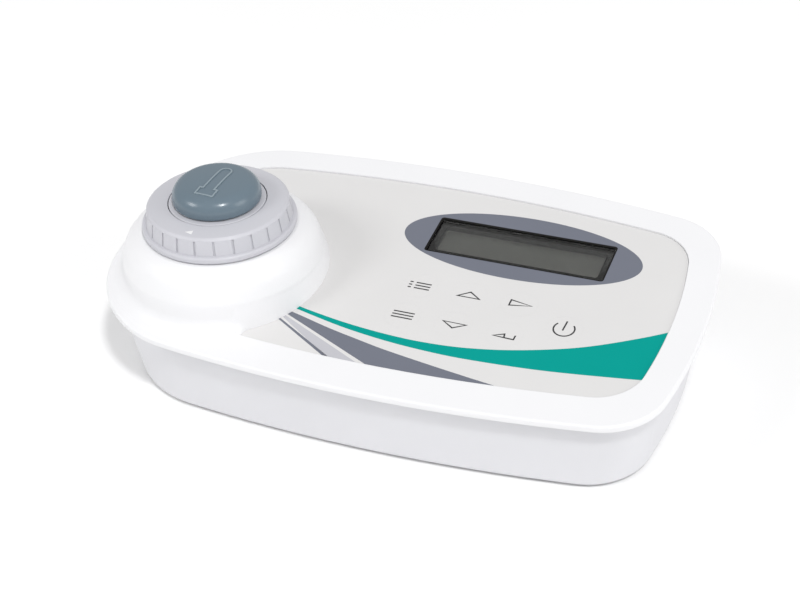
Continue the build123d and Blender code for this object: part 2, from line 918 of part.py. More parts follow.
def vial_sketch(inset):
    """Outline of a capped vial along Y, drawn round its own middle."""
    half = vial_length / 2
    with BuildSketch() as vial:
        with Locations((0, vial_cap_length / 2 - vial_width / 4)):
            SlotOverall(
                vial_length - vial_cap_length + vial_width / 2 - 2 * inset,
                vial_width - 2 * inset,
                rotation=90,
            )
        with Locations((0, -half + vial_cap_length / 2)):
            Rectangle(vial_cap_width - 2 * inset, vial_cap_length - 2 * inset)
    return vial.sketch


# Lid knob with the raised vial outline
knob_drum = knob_solid(0.0)
knob_shell = knob_solid(vial_rise)
vial_outer = vial_sketch(0.0)
vial_inner = vial_sketch(vial_line)
knob_top = disc_top + knob_foot + knob_height
vial_plane = Plane(
    origin=(turret_x + vial_off_right, turret_y - vial_off_front, knob_top - vial_depth)
).rotated((0, 0, vial_turn))
with BuildPart() as vial_mark:
    with BuildSketch(vial_plane):
        add(vial_outer)
        add(vial_inner, mode=Mode.SUBTRACT)
    extrude(amount=vial_depth + 2 * vial_rise)
    add(knob_shell, mode=Mode.INTERSECT)
with BuildPart() as lid_knob:
    add(knob_drum)
    add(vial_mark.part)
    with BuildSketch(turret_level(disc_top)):
        Circle(knob_foot_radius)
    extrude(amount=knob_foot)
    with BuildSketch(turret_level(disc_top)):
        Circle(lid_screw_radius + thread_fit)
    extrude(amount=lid_screw_bite, mode=Mode.SUBTRACT)
finish(lid_knob, "lid_knob")

with BuildPart() as lid_screw:
    with BuildSketch(turret_level(disc_low - lid_boss)):
        Circle(lid_screw_head)
    extrude(amount=-lid_screw_head_height)
    with BuildSketch(turret_level(disc_low - lid_boss)):
        Circle(lid_screw_radius)
    extrude(amount=lid_boss + lid_plate + lid_screw_bite - screw_tip_gap)
finish(lid_screw, "lid_screw")

# Sample well: stands on the floor and meets the hub at its top flange
well_top = turret_top - hub_depth
with BuildPart() as sample_well:
    with BuildSketch(turret_level(base)):
        Circle(well_bore + well_wall)
    extrude(amount=well_top - base)
    with BuildSketch(turret_level(base)):
        Circle(well_flange_radius)
    extrude(amount=well_flange)
    with BuildSketch(turret_level(well_top)):
        Circle(well_flange_radius)
    extrude(amount=-well_flange)
    with BuildSketch(turret_level(optic_low)):
        Rectangle(2 * optic_half, 2 * optic_half)
    extrude(amount=optic_high - optic_low)
    with BuildSketch(turret_level(base + well_floor)):
        Circle(well_bore)
    extrude(amount=well_top - base - well_floor, mode=Mode.SUBTRACT)
    with BuildSketch(beam_plane(1, -optic_half)):
        Circle(beam_radius)
    extrude(amount=2 * optic_half, mode=Mode.SUBTRACT)
finish(sample_well, "sample_well")


def light_holder(side, glass):
    """Block against the well with a seat for its glass, a bore for the emitter and its flange."""
    with BuildPart() as holder:
        with BuildSketch(beam_plane(side, optic_half)):
            Rectangle(holder_side, holder_side)
        extrude(amount=holder_length)
        with BuildSketch(beam_plane(side, optic_half)):
            Circle(lens_radius + optic_fit)
        extrude(amount=glass, mode=Mode.SUBTRACT)
        with BuildSketch(beam_plane(side, optic_half)):
            Circle(emitter_radius + optic_fit)
        extrude(amount=holder_length, mode=Mode.SUBTRACT)
        with BuildSketch(beam_plane(side, optic_half + holder_length)):
            Circle(emitter_flange_radius + optic_fit)
        extrude(amount=-emitter_flange, mode=Mode.SUBTRACT)
    return holder


def light_piece(side):
    """Round 5 mm lamp or photodiode, its flange against the board."""
    with BuildPart() as piece:
        with BuildSketch(beam_plane(side, optic_half + holder_length)):
            Circle(emitter_flange_radius)
        extrude(amount=-emitter_flange)
        with BuildSketch(beam_plane(side, optic_half + holder_length)):
            Circle(emitter_radius)
        extrude(amount=-emitter_length)
        tip = piece.faces().sort_by(Axis.X)[0 if side > 0 else -1]
        fillet(tip.edges(), emitter_rounding)
    return piece


def glass_disc(side, thickness):
    """Round lens or filter in its seat against the well."""
    with BuildPart() as disc:
        with BuildSketch(beam_plane(side, optic_half)):
            Circle(lens_radius)
        extrude(amount=thickness)
    return disc


def light_board(side):
    """Small board on the outer end of a holder."""
    with BuildPart() as board:
        with BuildSketch(beam_plane(side, optic_half + holder_length)):
            Rectangle(optic_board_side, optic_board_side)
        extrude(amount=board_thickness)
    return board


# Lamp on the right of the well, detector on its left
finish(light_holder(1, lens_thickness), "lamp_holder")
finish(light_holder(-1, filter_thickness), "detector_holder")
finish(light_piece(1), "lamp")
finish(light_piece(-1), "photodiode")
finish(glass_disc(1, lens_thickness), "beam_lens")
finish(glass_disc(-1, filter_thickness), "beam_filter")
finish(light_board(1), "lamp_board")
finish(light_board(-1), "detector_board")

# Battery cells, laid side by side with alternating ends
cell_z = foot_height + door_thickness + cell_gap + cell_radius
cell_rows = [(i - (cell_count - 1) / 2) * cell_pitch for i in range(cell_count)]
positive_wall = bay_length / 2 - contact_thickness
with BuildPart() as battery_cells:
    for i, y in enumerate(cell_rows):
        way = 1 if i % 2 == 0 else -1
        tip_plane = Plane(
            origin=(bay_x + way * positive_wall, y, cell_z), x_dir=(0, way, 0), z_dir=(way, 0, 0)
        )
        with BuildSketch(tip_plane.offset(-cell_tip)):
            Circle(cell_radius)
        extrude(amount=-cell_length)
        with BuildSketch(tip_plane.offset(-cell_tip)):
            Circle(cell_tip_radius)
        extrude(amount=cell_tip)
finish(battery_cells, "battery_cells")

# Battery contacts: a plate at each cell end, arched into a leaf spring at the flat end
leaf_rise = bay_length - 2 * contact_thickness - cell_tip - cell_length
leaf_inner = leaf_half - leaf_end
with BuildPart() as battery_contacts:
    for i, y in enumerate(cell_rows):
        way = 1 if i % 2 == 0 else -1
        for end in (-1, 1):
            with BuildSketch(Plane(origin=(bay_x + end * bay_length / 2, y, cell_z), z_dir=(-end, 0, 0))):
                Rectangle(contact_side, contact_side)
            extrude(amount=contact_thickness)
        leaf_foot = bay_x - way * positive_wall
        leaf_low = cell_z - leaf_width / 2
        with BuildSketch(Plane(origin=(leaf_foot, y, leaf_low), x_dir=(0, 1, 0), z_dir=(0, 0, 1))):
            with BuildLine():
                ThreePointArc((-leaf_half, 0), (0, -way * leaf_rise), (leaf_half, 0))
                Line((leaf_half, 0), (leaf_inner, 0))
                ThreePointArc((leaf_inner, 0), (0, -way * (leaf_rise - leaf_thickness)), (-leaf_inner, 0))
                Line((-leaf_inner, 0), (-leaf_half, 0))
            make_face()
        extrude(amount=leaf_width)
finish(battery_contacts, "battery_contacts")

# Battery door with its screw
with BuildPart() as battery_door:
    with BuildSketch(Plane.XY.offset(foot_height)):
        with Locations((door_x, 0)):
            RectangleRounded(door_length, door_width, door_margin - door_gap)
    extrude(amount=door_thickness)
    with BuildSketch(Plane.XY.offset(foot_height)):
        with Locations((door_screw_x, 0)):
            Circle(door_head_radius + door_gap)
    extrude(amount=door_head, mode=Mode.SUBTRACT)
    with BuildSketch(Plane.XY.offset(foot_height)):
        with Locations((door_screw_x, 0)):
            Circle(door_screw_radius + thread_fit)
    extrude(amount=door_thickness, mode=Mode.SUBTRACT)
finish(battery_door, "battery_door")

with BuildPart() as door_screw:
    with BuildSketch(Plane.XY.offset(foot_height + door_head)):
        with Locations((door_screw_x, 0)):
            Circle(door_head_radius)
    extrude(amount=door_head_sink - door_head)
    with BuildSketch(Plane.XY.offset(foot_height + door_head)):
        with Locations((door_screw_x, 0)):
            Circle(door_screw_radius)
    extrude(amount=door_thickness - door_head + door_screw_bite - screw_tip_gap)
finish(door_screw, "door_screw")

# Housing screws, driven from below
with BuildPart() as housing_screws:
    with BuildSketch(Plane.XY.offset(foot_height + head_recess)):
        with Locations(*housing_screws_at):
            Circle(housing_head_radius)
    extrude(amount=-housing_head)
    with BuildSketch(Plane.XY.offset(foot_height + head_recess)):
        with Locations(*housing_screws_at):
            Circle(housing_screw_radius)
    extrude(amount=boss_top - foot_height - head_recess + housing_screw_bite - screw_tip_gap)
finish(housing_screws, "housing_screws")

# Rubber feet
with BuildPart() as rubber_feet:
    with BuildSketch(Plane.XY):
        with Locations(*feet_at):
            Circle(foot_size)
    extrude(amount=foot_height + foot_recess)
    fillet(rubber_feet.faces().group_by(Axis.Z)[0].edges(), foot_edge)
finish(rubber_feet, "rubber_feet")

# Bare rating label under the floor
with BuildPart() as rating_label:
    with BuildSketch(Plane.XY.offset(foot_height)):
        with Locations((label_x, 0)):
            RectangleRounded(label_length, label_width, label_corner)
    extrude(amount=-label_thickness)
finish(rating_label, "rating_label")
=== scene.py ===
import json
from math import atan2, cos, pi, radians, sin, sqrt

import bmesh
import bpy
from mathutils import Matrix, Vector
from mathutils.bvhtree import BVHTree


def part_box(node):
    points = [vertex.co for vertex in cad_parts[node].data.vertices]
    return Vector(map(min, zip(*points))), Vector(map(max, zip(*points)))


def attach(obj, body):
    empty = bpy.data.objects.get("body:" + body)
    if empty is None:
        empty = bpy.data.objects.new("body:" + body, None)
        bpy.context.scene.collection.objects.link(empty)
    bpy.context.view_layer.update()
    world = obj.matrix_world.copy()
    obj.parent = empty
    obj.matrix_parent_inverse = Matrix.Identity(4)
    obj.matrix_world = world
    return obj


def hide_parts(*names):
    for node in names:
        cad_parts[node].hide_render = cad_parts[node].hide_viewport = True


# Looks of the chemical oxygen demand analyzer: finishes for its CAD solids, and prints, symbols,
# screws and trim that ride on them
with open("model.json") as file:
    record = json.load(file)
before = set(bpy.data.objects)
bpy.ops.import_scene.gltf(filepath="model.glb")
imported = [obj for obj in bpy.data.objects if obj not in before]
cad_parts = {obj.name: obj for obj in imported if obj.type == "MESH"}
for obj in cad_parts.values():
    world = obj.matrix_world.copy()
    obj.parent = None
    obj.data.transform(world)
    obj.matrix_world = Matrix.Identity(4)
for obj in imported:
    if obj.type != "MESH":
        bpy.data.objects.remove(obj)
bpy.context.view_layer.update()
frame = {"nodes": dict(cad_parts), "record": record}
nodes = frame["nodes"]
scene = bpy.context.scene

# Places and sizes in millimetres. Panel coordinates lie in the tilted panel's plane, with z out of it.
MM = 0.001
TILT = radians(5.0)
PANEL_Y = -0.1307
PANEL_Z = 38.6
PANEL = Matrix.Rotation(TILT, 4, "X")
PANEL.translation = (0, PANEL_Y, PANEL_Z)
FILM_TOP = -0.7
PRINT = 0.03

# Turret and knob
TURRET = Vector((-66.5, -14.0))
TURRET_ON_PANEL = Vector((TURRET.x, (TURRET.y - PANEL_Y) / cos(TILT)))
TURRET_TOP = 55.9
CUT_RADIUS = 38.35
KNOB_TOP = 74.4
CROWN_RADIUS = 101.59

# Overlay outline: four bowed sides, each set in from the housing's edge by the rim, and four corners
HALF_LENGTH, HALF_WIDTH = 111.0, 64.6
LONG_BOW, RIGHT_BOW, LEFT_BOW = 592.0, 214.0, 236.0
LONG_RIM, RIGHT_RIM, LEFT_RIM = 12.8, 11.4, 12.0
RIGHT_CORNER, LEFT_CORNER = 18.0, 34.0
OUTLINE_SHIFT = 1.1
PRINT_MARGIN = 0.35
STRIPE_SHIFT = Vector((-0.2, 0.5))

# Display window, as half sizes and corner radii, and the oval round it
WINDOW = Vector((35.8, 24.9))
OPENING_HALF, OPENING_CORNER, OPENING_SHIFT = (34.38, 10.37), 1.2, Vector((0, 0.1))
EDGE_HALF, EDGE_CORNER = (33.98, 9.93), 1.0
LINER_HALF, LINER_CORNER = (33.99, 9.94), 1.0
LINER_BORE_HALF, LINER_BORE_CORNER = (33.75, 9.7), 0.8
LINER_DEPTH = 0.8
OVAL = WINDOW + Vector((0.3, 0.33))
OVAL_RADII = (45.65, 18.05)

# Skirt of the turret: radii round its axis, angles in degrees, and how its ends fade and spread
SKIRT_TOP, FOOT_RADIUS, SKIRT_FOOT = 36.6, 38.1, 38.8
SKIRT_START, SKIRT_END, SKIRT_STEP = -67.0, 150.0, 1.0
SKIRT_SINK, SKIRT_FADE = 0.9, 9.0
TIP_SPREAD, TIP_REACH = 2.6, 6.0
SKIRT_UNDER = 0.05
TOP_UNDER, FOOT_OVER = 0.1, 0.15

# Keys, by their middles on the panel
KEYS = {
    "table": (7.3, -5.2),
    "up": (26.3, -5.2),
    "right": (45.3, -5.2),
    "menu": (7.3, -22.0),
    "down": (26.3, -22.0),
    "enter": (45.3, -22.0),
    "power": (64.3, -13.6),
}
KEY_RADIUS = 6.6
SEAM = 0.05
SEAM_DEPTH = 0.3
LINE = 0.58
ROW_HEIGHTS = (-1.5, 0.0, 1.5)
POWER_RADIUS, POWER_GAP = 3.75, radians(50)

# Index mark on the lock ring's sloped top, in front at rest
INDEX_RISE = 9.66
INDEX_RADIUS = 22.6
INDEX_LEAN = radians(5.0)
INDEX_HALF_THICKNESS = 0.1
INDEX_TRIANGLE = ((0.1, -1.6), (0.8, 1.2), (-1.3, 1.0))

# Cross-recessed screws: CAD node, new piece, head height, head radius, shank radius and body
SCREWS = (
    ("housing_screws", "housing_screw_set", 2.2, 2.8, 1.5, "body"),
    ("door_screw", "door_screw_dressed", 1.0, 2.4, 1.2, "body"),
    ("lid_screw", "lid_screw_dressed", 2.0, 3.0, 1.5, "lid"),
)

# Studio, in metres and watts: each light's name, place, side and power
FLOOR_SIZE = 4.0
WORLD_STRENGTH = 0.56
LIGHT_AIM = Vector((0, 0, 0.03))
LIGHTS = (
    ("key_softbox", (-1.35, -1.1, 1.35), 0.62, 11.0),
    ("front_softbox", (1.15, -1.3, 2.75), 0.32, 43.5),
    ("right_softbox", (2.2, 0.0, 1.0), 1.2, 11.0),
)

# Camera, solved from the photo: the window's middle lies at a known pixel
AZIMUTH, ELEVATION, ROLL = radians(23.24), radians(35.35), radians(-3.21)
PHOTO_WIDTH, PHOTO_HEIGHT = 800.0, 600.0
FOCUS_PX, DISTANCE = 1730.0, 636.7
TARGET = Vector((36.0, 24.4, 0))
TARGET_PX = (520.37, 248.21)
SENSOR_WIDTH = 36.0


# Material kit
def new_material(name):
    material = bpy.data.materials.new(name)
    material.use_nodes = True
    tree = material.node_tree
    return material, tree, tree.nodes["Principled BSDF"]


def node(tree, kind, **values):
    """New node: values named in_... set its inputs, the others its properties."""
    made = tree.nodes.new(kind)
    for key, value in values.items():
        if key.startswith("in_"):
            made.inputs[key[3:].replace("_", " ")].default_value = value
        else:
            setattr(made, key, value)
    return made


def position(tree):
    return node(tree, "ShaderNodeTexCoord").outputs["Object"]


def noise(tree, scale, detail=3.0):
    made = node(tree, "ShaderNodeTexNoise", in_Scale=scale, in_Detail=detail)
    tree.links.new(position(tree), made.inputs["Vector"])
    return made.outputs["Fac"]


def blend(tree, source, colour_low, colour_high):
    """Colour between two colours, over the middle part of a noise."""
    made = node(tree, "ShaderNodeValToRGB")
    for stop, place, colour in zip(made.color_ramp.elements, (0.3, 0.7), (colour_low, colour_high)):
        stop.position = place
        stop.color = (*colour, 1.0)
    tree.links.new(source, made.inputs["Fac"])
    return made.outputs["Color"]


def spread(tree, source, low, high):
    """A noise stretched over a range of values."""
    made = node(tree, "ShaderNodeMapRange", in_To_Min=low, in_To_Max=high)
    tree.links.new(source, made.inputs["Value"])
    return made.outputs["Result"]


def tone(colour, factor):
    return tuple(max(0.0, min(1.0, c * factor)) for c in colour)


def surface(
    name,
    colour,
    roughness=0.45,
    variation=0.03,
    grain=900.0,
    bump=0.05,
    edge=0.00025,
    metallic=0.0,
    coat=0.0,
    transmission=0.0,
    specular=0.5,
):
    """Moulded or printed surface: mottled colour, uneven gloss, fine grain and softened edges."""
    material, tree, shader = new_material(name)
    link = tree.links.new
    mottling = noise(tree, scale=35.0, detail=4.0)
    mottled = blend(tree, mottling, tone(colour, 1.0 - variation), tone(colour, 1.0 + variation))
    link(mottled, shader.inputs["Base Color"])
    unevenness = noise(tree, scale=120.0, detail=5.0)
    gloss = spread(tree, unevenness, max(0.02, roughness - 0.06), roughness + 0.06)
    link(gloss, shader.inputs["Roughness"])
    rounded = node(tree, "ShaderNodeBevel", samples=6, in_Radius=edge)
    relief = node(tree, "ShaderNodeBump", in_Strength=bump, in_Distance=0.0002)
    link(noise(tree, scale=grain, detail=2.0), relief.inputs["Height"])
    link(rounded.outputs["Normal"], relief.inputs["Normal"])
    link(relief.outputs["Normal"], shader.inputs["Normal"])
    shader.inputs["Metallic"].default_value = metallic
    shader.inputs["Coat Weight"].default_value = coat
    shader.inputs["Specular IOR Level"].default_value = specular
    shader.inputs["Transmission Weight"].default_value = transmission
    return material


def brushed(name, colour, roughness):
    """Metal with fine lines along one direction."""
    material, tree, shader = new_material(name)
    link = tree.links.new
    stretch = node(tree, "ShaderNodeMapping", in_Scale=(60.0, 2500.0, 2500.0))
    link(position(tree), stretch.inputs["Vector"])
    texture = node(tree, "ShaderNodeTexNoise", in_Scale=1.0, in_Detail=3.0)
    link(stretch.outputs["Vector"], texture.inputs["Vector"])
    lines = texture.outputs["Fac"]
    link(blend(tree, lines, tone(colour, 0.85), tone(colour, 1.1)), shader.inputs["Base Color"])
    link(spread(tree, lines, roughness - 0.08, roughness + 0.12), shader.inputs["Roughness"])
    relief = node(tree, "ShaderNodeBump", in_Strength=0.1, in_Distance=0.0001)
    link(lines, relief.inputs["Height"])
    link(relief.outputs["Normal"], shader.inputs["Normal"])
    shader.inputs["Metallic"].default_value = 1.0
    return material


def knob_material():
    """Slate moulded plastic whose raised outline, above the crown's sphere, is a shade lighter."""
    material = surface(
        "knob_slate", (0.13, 0.178, 0.217), roughness=0.24, variation=0.02, grain=1300.0, bump=0.04, edge=0.0002
    )
    tree = material.node_tree
    link = tree.links.new
    base_colour = tree.nodes["Principled BSDF"].inputs["Base Color"]
    plain_colour = base_colour.links[0].from_socket
    far = node(tree, "ShaderNodeVectorMath", operation="DISTANCE")
    far.inputs[1].default_value = Vector((*TURRET, KNOB_TOP - CROWN_RADIUS)) * MM
    link(position(tree), far.inputs[0])
    raised = node(
        tree,
        "ShaderNodeMapRange",
        in_From_Min=(CROWN_RADIUS + 0.05) * MM,
        in_From_Max=(CROWN_RADIUS + 0.20) * MM,
    )
    link(far.outputs["Value"], raised.inputs["Value"])
    mix = node(tree, "ShaderNodeMix", data_type="RGBA")
    mix.inputs["B"].default_value = (0.25, 0.31, 0.35, 1.0)
    link(raised.outputs["Result"], mix.inputs["Factor"])
    link(plain_colour, mix.inputs["A"])
    link(mix.outputs["Result"], base_colour)
    return material


def window_material():
    """Clear acrylic: almost only its reflection shows."""
    material, tree, shader = new_material("window_acrylic")
    link = tree.links.new
    clear = blend(tree, noise(tree, scale=30.0), (0.93, 0.95, 0.93), (0.96, 0.97, 0.96))
    link(clear, shader.inputs["Base Color"])
    link(spread(tree, noise(tree, scale=90.0), 0.01, 0.03), shader.inputs["Roughness"])
    shader.inputs["Transmission Weight"].default_value = 1.0
    shader.inputs["Specular IOR Level"].default_value = 0.2
    shader.inputs["IOR"].default_value = 1.49
    return material


def lcd_material():
    """Grey-green display glass with its cells unlit."""
    material, tree, shader = new_material("lcd_face")
    link = tree.links.new
    mottled = blend(tree, noise(tree, scale=45.0, detail=2.0), (0.099, 0.099, 0.090), (0.107, 0.107, 0.098))
    link(mottled, shader.inputs["Base Color"])
    link(spread(tree, noise(tree, scale=160.0), 0.3, 0.4), shader.inputs["Roughness"])
    shader.inputs["Specular IOR Level"].default_value = 0.3
    relief = node(tree, "ShaderNodeBump", in_Strength=0.02, in_Distance=0.0001)
    link(noise(tree, scale=1800.0), relief.inputs["Height"])
    link(relief.outputs["Normal"], shader.inputs["Normal"])
    return material


WHITE = surface(
    "white_abs", (0.83, 0.83, 0.845), roughness=0.42, variation=0.008, grain=1400.0, bump=0.06, edge=0.0003
)
# Same white ABS as the upper shell, toned darker: painted shade standing for the shade on the lower housing's
# side walls
WHITE_PAINTED_SHADE = surface(
    "white_abs_painted_shade", (0.70, 0.70, 0.725), roughness=0.45, variation=0.010, grain=1400.0, bump=0.07, edge=0.0004
)
PRINTED = {"roughness": 0.42, "grain": 2400.0, "edge": 0.00003}
FILM = surface("panel_membrane", (0.69, 0.683, 0.68), variation=0.010, bump=0.05, specular=0.3, **PRINTED)
TEAL = surface("print_teal", (0.0, 0.31, 0.27), variation=0.02, bump=0.04, specular=0.06, **PRINTED)
SLATE = surface("print_slate", (0.157, 0.169, 0.209), variation=0.02, bump=0.04, specular=0.3, **PRINTED)
PALE = surface("print_light_grey", (0.50, 0.50, 0.535), variation=0.015, bump=0.04, specular=0.3, **PRINTED)
INK = surface(
    "print_ink", (0.035, 0.035, 0.038), roughness=0.4, variation=0.05, grain=2400.0, bump=0.03, edge=0.00003
)
BLACK = surface(
    "black_moulding", (0.018, 0.017, 0.018), roughness=0.4, variation=0.08, grain=1500.0, bump=0.08, edge=0.0002
)
LINING = surface(
    "window_lining",
    (0.009, 0.0085, 0.008),
    roughness=0.6,
    variation=0.08,
    grain=1500.0,
    bump=0.05,
    edge=0.0001,
    specular=0.15,
)
BEZEL = surface(
    "dark_pressed_steel",
    (0.012, 0.0115, 0.011),
    roughness=0.5,
    variation=0.1,
    grain=1500.0,
    bump=0.06,
    edge=0.0002,
    specular=0.3,
)
RING = surface(
    "ring_grey", (0.555, 0.555, 0.595), roughness=0.42, variation=0.015, grain=1300.0, bump=0.06, edge=0.00035
)
MARK = surface(
    "index_white", (0.8, 0.8, 0.81), roughness=0.45, variation=0.01, grain=1300.0, bump=0.03, edge=0.00005
)
RUBBER = surface(
    "black_rubber", (0.03, 0.03, 0.032), roughness=0.75, variation=0.12, grain=900.0, bump=0.3, edge=0.0003
)
WELL = surface(
    "well_black", (0.012, 0.012, 0.013), roughness=0.55, variation=0.1, grain=1200.0, bump=0.1, edge=0.0003
)
BOARD = surface(
    "solder_resist", (0.015, 0.12, 0.05), roughness=0.3, variation=0.12, grain=700.0, bump=0.1, edge=0.0001
)
GUIDE = surface("light_guide", (0.7, 0.72, 0.66), roughness=0.35, grain=700.0, edge=0.0002, transmission=0.3)
RESIN = surface(
    "clear_resin",
    (0.8, 0.82, 0.85),
    roughness=0.12,
    variation=0.02,
    grain=700.0,
    bump=0.02,
    edge=0.0002,
    transmission=0.8,
)
LENS = surface(
    "optical_glass",
    (0.9, 0.94, 0.96),
    roughness=0.05,
    variation=0.01,
    grain=500.0,
    bump=0.01,
    edge=0.0001,
    transmission=0.95,
)
JACKET = surface(
    "cell_jacket",
    (0.03, 0.07, 0.1),
    roughness=0.3,
    variation=0.05,
    grain=500.0,
    bump=0.03,
    edge=0.0003,
    coat=0.3,
)
LABEL = surface(
    "label_film",
    (0.6, 0.6, 0.61),
    roughness=0.35,
    variation=0.02,
    grain=1500.0,
    bump=0.04,
    edge=0.0001,
    metallic=0.3,
)
STEEL = brushed("zinc_plate", (0.62, 0.62, 0.62), roughness=0.3)
SPRING = brushed("nickel_plate", (0.7, 0.69, 0.67), roughness=0.22)
KNOB = knob_material()
WINDOW_CLEAR = window_material()
LCD = lcd_material()

SLOT_FINISH = {
    "white_shell": WHITE,
    "panel_film": FILM,
    "black_plastic": BLACK,
    "clear_window": WINDOW_CLEAR,
    "pressed_metal": BEZEL,
    "lcd_glass": LCD,
    "clear_plastic": GUIDE,
    "circuit_board": BOARD,
    "screw_steel": STEEL,
    "ring_grey": RING,
    "knob_slate": KNOB,
    "seal_rubber": RUBBER,
    "foot_rubber": RUBBER,
    "well_black": WELL,
    "lamp_clear": RESIN,
    "lens_glass": LENS,
    "cell_jacket": JACKET,
    "spring_steel": SPRING,
    "label_film": LABEL,
}
# The lower housing and battery door take the darker white, whose tone is painted shade
NODE_FINISH = {"lower_housing": WHITE_PAINTED_SHADE, "battery_door": WHITE_PAINTED_SHADE, "display_surround": LINING}
for part in frame["record"]["subparts"]:
    finish = NODE_FINISH.get(part["node"], SLOT_FINISH[part["material_slot"]])
    for material_slot in nodes[part["node"]].material_slots:
        material_slot.material = finish


# Flat outlines
def circle_meet(centre_1, radius_1, centre_2, radius_2, want):
    """The meeting point of two circles that lies nearest to a wanted point."""
    gap = centre_2 - centre_1
    apart = gap.length
    along = (radius_1**2 - radius_2**2 + apart**2) / (2 * apart)
    off = sqrt(max(0.0, radius_1**2 - along**2))
    unit = gap / apart
    foot = centre_1 + unit * along
    side = Vector((-unit.y, unit.x))
    return min((foot + side * off, foot - side * off), key=lambda point: (point - want).length)


def arc(centre, radius, start, end, count):
    """Points on an arc, counter-clockwise from one point to another, without the last."""
    a = atan2(start.y - centre.y, start.x - centre.x)
    b = atan2(end.y - centre.y, end.x - centre.x)
    if b < a:
        b += 2 * pi
    angles = [a + (b - a) * i / count for i in range(count)]
    return [centre + Vector((cos(angle), sin(angle))) * radius for angle in angles]


def ellipse(centre, radius_x, radius_y, count):
    angles = [2 * pi * i / count for i in range(count)]
    return [Vector(centre) + Vector((radius_x * cos(angle), radius_y * sin(angle))) for angle in angles]


def window_rectangle(half, radius, count=8):
    """Rectangle with rounded corners round the window's middle."""
    points = []
    for turn, (x, y) in enumerate(((1, 1), (-1, 1), (-1, -1), (1, -1))):
        corner = WINDOW + Vector((x * (half[0] - radius), y * (half[1] - radius)))
        for i in range(count + 1):
            angle = (turn + i / count) * pi / 2
            points.append(corner + Vector((radius * cos(angle), radius * sin(angle))))
    return points


def film_outline(inset):
    """The overlay's outline on the panel, set in by a little: four bowed sides and their corners."""
    bow_middle = LONG_BOW - HALF_WIDTH
    long_radius = LONG_BOW - LONG_RIM - inset
    sides = (
        (Vector((HALF_LENGTH - RIGHT_BOW, 0)), RIGHT_BOW - RIGHT_RIM - inset),
        (Vector((0, OUTLINE_SHIFT - bow_middle)), long_radius),
        (Vector((LEFT_BOW - HALF_LENGTH, 0)), LEFT_BOW - LEFT_RIM - inset),
        (Vector((0, OUTLINE_SHIFT + bow_middle)), long_radius),
    )
    roughly = ((90, 50), (-90, 50), (-90, -50), (90, -50))
    corners = []
    for i, whole_radius in enumerate((RIGHT_CORNER, LEFT_CORNER, LEFT_CORNER, RIGHT_CORNER)):
        radius = whole_radius - inset
        (middle_1, radius_1), (middle_2, radius_2) = sides[i], sides[(i + 1) % 4]
        centre = circle_meet(middle_1, radius_1 - radius, middle_2, radius_2 - radius, Vector(roughly[i]))
        start = middle_1 + (centre - middle_1).normalized() * radius_1
        end = middle_2 + (centre - middle_2).normalized() * radius_2
        corners.append((centre, radius, start, end))
    points = []
    for i, (centre, radius, start, end) in enumerate(corners):
        middle, side_radius = sides[(i + 1) % 4]
        next_start = corners[(i + 1) % 4][2]
        points += arc(centre, radius, start, end, 16)
        points += arc(middle, side_radius, end, next_start, 40)
    return points


def clipped(shape, convex):
    """The part of a shape inside a convex outline that runs counter-clockwise."""
    inside = list(shape)
    for i, a in enumerate(convex):
        edge = convex[(i + 1) % len(convex)] - a
        kept = []
        for j, p in enumerate(inside):
            q = inside[j - 1]
            side_p = edge.x * (p.y - a.y) - edge.y * (p.x - a.x)
            side_q = edge.x * (q.y - a.y) - edge.y * (q.x - a.x)
            if (side_p >= 0) != (side_q >= 0):
                kept.append(q + (p - q) * (side_q / (side_q - side_p)))
            if side_p >= 0:
                kept.append(p)
        inside = kept
    return inside


def in_turret(point):
    return (point - TURRET_ON_PANEL).length < CUT_RADIUS


def turret_angle(point):
    return atan2(point.y - TURRET_ON_PANEL.y, point.x - TURRET_ON_PANEL.x)


def outside_turret(shape):
    """The part of a shape outside the turret's cut, whose circle it crosses twice."""
    kept, returns = [], []
    for j, p in enumerate(shape):
        q = shape[j - 1]
        if in_turret(p) != in_turret(q):
            near, far = (p, q) if in_turret(p) else (q, p)
            for _ in range(30):
                middle = (near + far) / 2
                if in_turret(middle):
                    near = middle
                else:
                    far = middle
            kept.append(far.copy())
            if in_turret(p):
                returns.append(len(kept))
        if not in_turret(p):
            kept.append(p)
    for index in reversed(returns):
        a = turret_angle(kept[index - 1])
        b = turret_angle(kept[index % len(kept)])
        angles = [a + (b - a) * i / 12 for i in range(1, 12)]
        kept[index:index] = [
            TURRET_ON_PANEL + Vector((cos(angle), sin(angle))) * CUT_RADIUS for angle in angles
        ]
    return kept


def smooth_line(points, steps=14):
    """A smooth curve through a few points."""
    given = [Vector(p) for p in points]
    ends = [given[0] * 2 - given[1]] + given + [given[-1] * 2 - given[-2]]
    line = []
    for p0, p1, p2, p3 in zip(ends, ends[1:], ends[2:], ends[3:]):
        for k in range(steps):
            t = k / steps
            straight = 2 * p1 + (p2 - p0) * t
            square = (2 * p0 - 5 * p1 + 4 * p2 - p3) * t * t
            cube = (3 * p1 - p0 - 3 * p2 + p3) * t * t * t
            line.append(0.5 * (straight + square + cube))
    line.append(given[-1])
    return line


def stroke(points, width, closed=False):
    """Loops of a line of even width with mitred corners."""
    given = [Vector(p) for p in points]
    count = len(given)
    left, right = [], []
    for i, p in enumerate(given):
        before = given[i - 1] if (closed or i > 0) else p * 2 - given[i + 1]
        after = given[(i + 1) % count] if (closed or i < count - 1) else p * 2 - given[i - 1]
        way_in = (p - before).normalized()
        way_out = (after - p).normalized()
        normal_in = Vector((-way_in.y, way_in.x))
        mitre = normal_in + Vector((-way_out.y, way_out.x))
        mitre = mitre * (1.0 / max(0.25, mitre.dot(normal_in) if mitre.length else 1.0))
        left.append(p + mitre * width / 2)
        right.append(p - mitre * width / 2)
    if closed:
        return [left, right[::-1]]
    return [left + right[::-1]]


# Meshes
def evaluated_mesh(piece):
    bpy.context.view_layer.update()
    return bpy.data.meshes.new_from_object(piece.evaluated_get(bpy.context.evaluated_depsgraph_get()))


